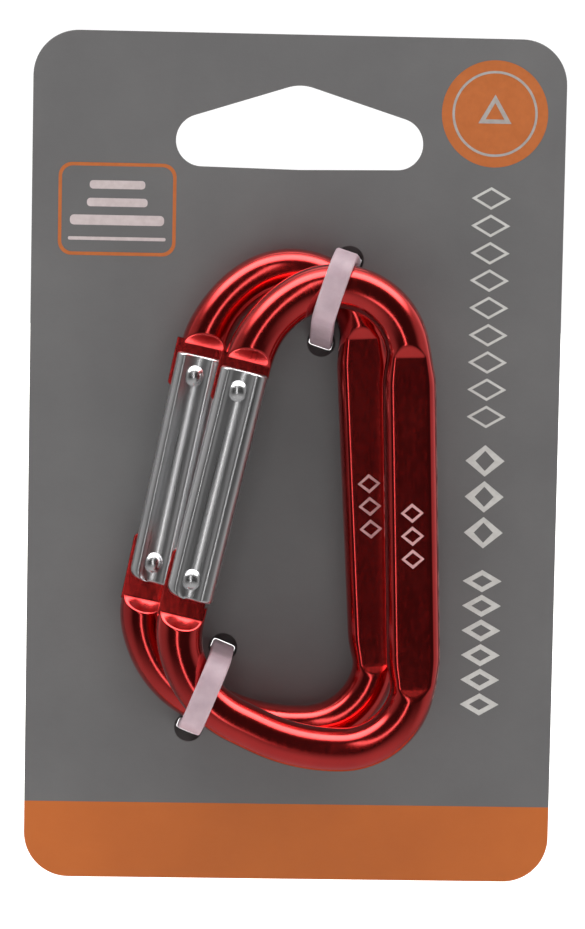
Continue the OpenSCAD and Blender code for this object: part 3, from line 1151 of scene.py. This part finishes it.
def title_marks(looks):
    """A column of open diamonds where a title would be: nine light, then three and six bold."""
    for name, top, bottom, count, half_h, line in TITLE_GROUPS:
        bm = bmesh.new()
        pitch = (top - bottom) / count
        for i in range(count):
            centre = on_card(TITLE_X, top - pitch * (i + 0.5))
            outer = diamond(*centre, TITLE_HALF_W, half_h)
            inner = diamond(*centre, TITLE_HALF_W - line * TITLE_LINE_X, half_h - line * TITLE_LINE_Y)
            add_frame_prism(bm, outer, inner, INK_LOW, INK_HIGH)
        printed("title_" + name, bm, looks["pale_ink"])


def roundel(looks):
    """An orange disc with a fine ring and a triangle on it."""
    centre = on_card(*ROUNDEL_CENTRE)

    def circle(r):
        return arc(*centre, r, 0, 357.5, 143)

    bm = bmesh.new()
    add_prism(bm, circle(ROUNDEL_R), INK_LOW, INK_HIGH)
    printed("roundel_disc", bm, looks["orange_ink"])
    bm = bmesh.new()
    ring = [circle(r) for r in ROUNDEL_LINE]
    triangle = [arc(*centre, r, 90, 330, 2) for r in ROUNDEL_TRIANGLE]
    for outer, inner in (ring, triangle):
        add_frame_prism(bm, outer, inner, INK_HIGH - INK_T / 2, INK_HIGH + INK_T)
    printed("roundel_marks", bm, looks["grey_ink"])


def badge(looks):
    """A bordered box with four rounded bars in place of lines of print."""
    (x0, x1), (y0, y1), line = BADGE_X, BADGE_Y, BADGE_LINE
    outer = rounded_box(x0, x1, y0, y1, BADGE_CORNERS[0])
    inner = rounded_box(x0 + line, x1 - line, y0 + line, y1 - line, BADGE_CORNERS[1])
    bm = bmesh.new()
    add_frame_prism(bm, outer, inner, INK_LOW, INK_HIGH)
    printed("badge_border", bm, looks["orange_ink"])
    bm = bmesh.new()
    middle = (x0 + x1) / 2
    for y, width, height in BADGE_BARS:
        bar = rounded_box(middle - width / 2, middle + width / 2, y - height / 2, y + height / 2,
                          height * BADGE_BAR_ROUND, 4)
        add_prism(bm, bar, INK_LOW, INK_HIGH)
    printed("badge_bars", bm, looks["badge_ink"])


def offset_loop(points, amount):
    """A closed outline moved sideways: outwards where it runs anticlockwise and amount is positive."""
    moved = []
    for i, (x, y) in enumerate(points):
        (x0, y0), (x1, y1) = points[i - 1], points[(i + 1) % len(points)]
        length = math.dist((x0, y0), (x1, y1))
        moved.append((x + (y1 - y0) / length * amount, y - (x1 - x0) / length * amount))
    return moved


def peg_outline():
    """The peg hole: round ends, a flat floor and a low rounded peak."""
    end_x = PEG_W / 2 - PEG_END_R
    end_y = PEG_END_R - PEG_H
    points = []
    for cx, cy, r in ((-end_x, end_y, PEG_END_R), (end_x, end_y, PEG_END_R), (0, -PEG_PEAK_R, PEG_PEAK_R)):
        points += arc(cx, cy, r, 0, 360, 120)
    return even_loop(hull(points), OUTLINE_SPACING)


def tie_hole(start, end, which):
    """A round hole at the front that closes in round the strap at the back, as (front, back)."""
    angle = math.atan2(end[1] - start[1], end[0] - start[0])
    x, y = (start, end)[which]
    shift = FITTED_SHIFT * (1 - 2 * which)
    front, back = [], []
    for i in range(HOLE_POINTS):
        a = 2 * math.pi * i / HOLE_POINTS
        c, s = math.cos(a), math.sin(a)
        front.append((x + TIE_HOLE_R * c, y + TIE_HOLE_R * s))
        along = FITTED_HALF_L * math.copysign(abs(c) ** FITTED_SQUARENESS, c) + shift
        across = FITTED_HALF_W * math.copysign(abs(s) ** FITTED_SQUARENESS, s)
        back.append((x + along * math.cos(angle) - across * math.sin(angle),
                     y + along * math.sin(angle) + across * math.cos(angle)))
    turn = round(HOLE_POINTS * angle / (2 * math.pi))
    return front, back[-turn % HOLE_POINTS:] + back[:-turn % HOLE_POINTS]


def card_mesh():
    """The board: both faces, its softened cut edges and its holes, as one closed mesh."""
    half, soft = CARD_T / 2, CARD_SOFT
    depths = ((half, -1), (half - soft, 0), (soft - half, 0), (-half, -1))
    walls = []
    board = even_loop(rounded_box(-CARD_W / 2, CARD_W / 2, -CARD_H / 2, CARD_H / 2, CARD_CORNER, 24), 0.5)
    for outline, sign in ((board, 1), (peg_outline(), -1)):
        walls.append([(offset_loop(outline, sign * soft * grow), depth) for depth, grow in depths])
    for start, end, *_ in TIES.values():
        for which in (0, 1):
            front, back = tie_hole(start, end, which)
            middle = [((a[0] * 2 + b[0]) / 3, (a[1] * 2 + b[1]) / 3) for a, b in zip(front, back)]
            walls.append([(offset_loop(front, soft), half), (front, half - soft), (middle, 0.0),
                          (back, soft - half), (offset_loop(back, soft), -half)])
    bm = bmesh.new()
    rims = [], []
    for wall in walls:
        loops = [[bm.verts.new((x, y, depth)) for x, y in points] for points, depth in wall]
        skin(bm, loops)
        for rim, loop in zip(rims, (loops[0], loops[-1])):
            rim += [bm.edges.get(pair) for pair in zip(loop, loop[1:] + loop[:1])]
    for edges in rims:
        bmesh.ops.triangle_fill(bm, edges=edges, use_beauty=True, use_dissolve=False)
    return bm


def finish_card(looks):
    card = new_object("card_board", card_mesh())
    smooth(card, 50)
    place(card, TO_METRES @ UPRIGHT, ROOT, looks["card"], "card")
    title_marks(looks)
    roundel(looks)
    badge(looks)


# ---------------------------------------------------------------- studio

class Studio(Tree):
    """The world's light, which depends only on the direction it comes from."""

    def __init__(self):
        world = bpy.data.worlds.new("studio")
        bpy.context.scene.world = world
        super().__init__(world)
        self.nodes.clear()
        self.direction = self.nodes.new("ShaderNodeTexCoord").outputs["Generated"]

    def dot(self, vector):
        node = self.nodes.new("ShaderNodeVectorMath")
        node.operation = "DOT_PRODUCT"
        node.inputs[1].default_value = vector
        self.links.new(self.direction, node.inputs[0])
        return node.outputs["Value"]

    def lobe(self, azimuth, elevation, inner, outer, gain):
        """Brightness gain within inner degrees of a direction, fading out at outer degrees."""
        middle = towards(math.radians(azimuth), math.radians(elevation))
        near, far = math.cos(math.radians(inner)), math.cos(math.radians(outer))
        return self.map_range(self.dot(middle), far, near, 0, gain, "SMOOTHSTEP")

    def bar(self, across, middle, half, reach, gain):
        """A long light: a band half degrees wide each side of the great circle square to across,
        kept within reach degrees of its middle, which is given as azimuth and elevation."""
        away = self.math("ABSOLUTE", self.dot(across))
        inner, outer = (math.sin(math.radians(half * share)) for share in BAR_FADE)
        band = self.map_range(away, inner, outer, gain, 0, "SMOOTHSTEP")
        return self.math("MULTIPLY", band, self.lobe(*middle, reach * BAR_FULL, reach, 1.0))

    def background(self, colour, strength):
        node = self.nodes.new("ShaderNodeBackground")
        node.inputs["Color"].default_value = colour
        if isinstance(strength, float):
            node.inputs["Strength"].default_value = strength
        else:
            self.links.new(strength, node.inputs["Strength"])
        return node.outputs["Background"]


def studio_world():
    """Soft studio surroundings: a broad light overhead, dimmer sides, and dark behind the camera.
    The backdrop itself shows as plain white."""
    studio = Studio()
    lights = [studio.lobe(*light) for light in LOBES] + [studio.bar(*light) for light in BARS]
    total = lights[0]
    for light in lights[1:]:
        total = studio.math("ADD", total, light)
    lit = studio.background(STUDIO_TINT, studio.math("MAXIMUM", total, DARKEST))
    plain = studio.background(WHITE, BACKDROP)
    path = studio.nodes.new("ShaderNodeLightPath")
    mix = studio.nodes.new("ShaderNodeMixShader")
    out = studio.nodes.new("ShaderNodeOutputWorld")
    studio.links.new(path.outputs["Is Camera Ray"], mix.inputs["Fac"])
    studio.links.new(lit, mix.inputs[1])
    studio.links.new(plain, mix.inputs[2])
    studio.links.new(mix.outputs["Shader"], out.inputs["Surface"])


def floor():
    """A pale plain floor just below the card. It stays out of reflections."""
    shader = Shader("studio_floor")
    cloud = shader.noise(shader.mapped((6, 6, 6)), detail=2)
    shader.link(shader.ramp(cloud, (0.93, 0.93, 0.92), (0.96, 0.96, 0.95)), "Base Color")
    shader.set(Roughness=0.9, Emission_Color=WHITE, Emission_Strength=FLOOR_GLOW)
    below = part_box("card")[0].z - FLOOR_DROP
    half = FLOOR_HALF
    bm = bmesh.new()
    corners = [(-half, -half), (half, -half), (half, half), (-half, half)]
    add_prism(bm, corners, below - FLOOR_T, below)
    obj = new_object("studio_floor", bm)
    obj.data.materials.append(shader.material)
    obj.visible_glossy = False


def build():
    """Makes every visible piece with its look."""
    looks = {
        "red": anodised_red(),
        "rivet": turned_metal("rivet_steel", (0.80, 0.80, 0.81), (0.93, 0.93, 0.94), 0.24),
        "brass": turned_metal("plunger_brass", (0.55, 0.40, 0.18), (0.70, 0.54, 0.28), 0.28),
        "wire": turned_metal("spring_steel", (0.50, 0.50, 0.52), (0.66, 0.66, 0.68), 0.25),
        "nylon": nylon(),
        "card": card_print(),
        "etched": ink("etched_marks", (0.42, 0.20, 0.20), (0.55, 0.30, 0.30)),
        "pale_ink": ink("pale_ink", (0.45, 0.45, 0.43), (0.52, 0.52, 0.50)),
        "grey_ink": ink("grey_ink", (0.30, 0.27, 0.25), (0.36, 0.33, 0.31)),
        "orange_ink": ink("orange_ink", (0.40, 0.100, 0.014), (0.45, 0.116, 0.018)),
        "badge_ink": ink("badge_ink", (0.45, 0.38, 0.38), (0.52, 0.45, 0.45)),
    }
    carabiner("back", looks)
    carabiner("front", looks)
    cable_tie("tie_upper", looks["nylon"])
    cable_tie("tie_lower", looks["nylon"])
    finish_card(looks)


make_camera()
studio_world()
build()
floor()
bpy.context.scene.view_settings.view_transform = "Standard"
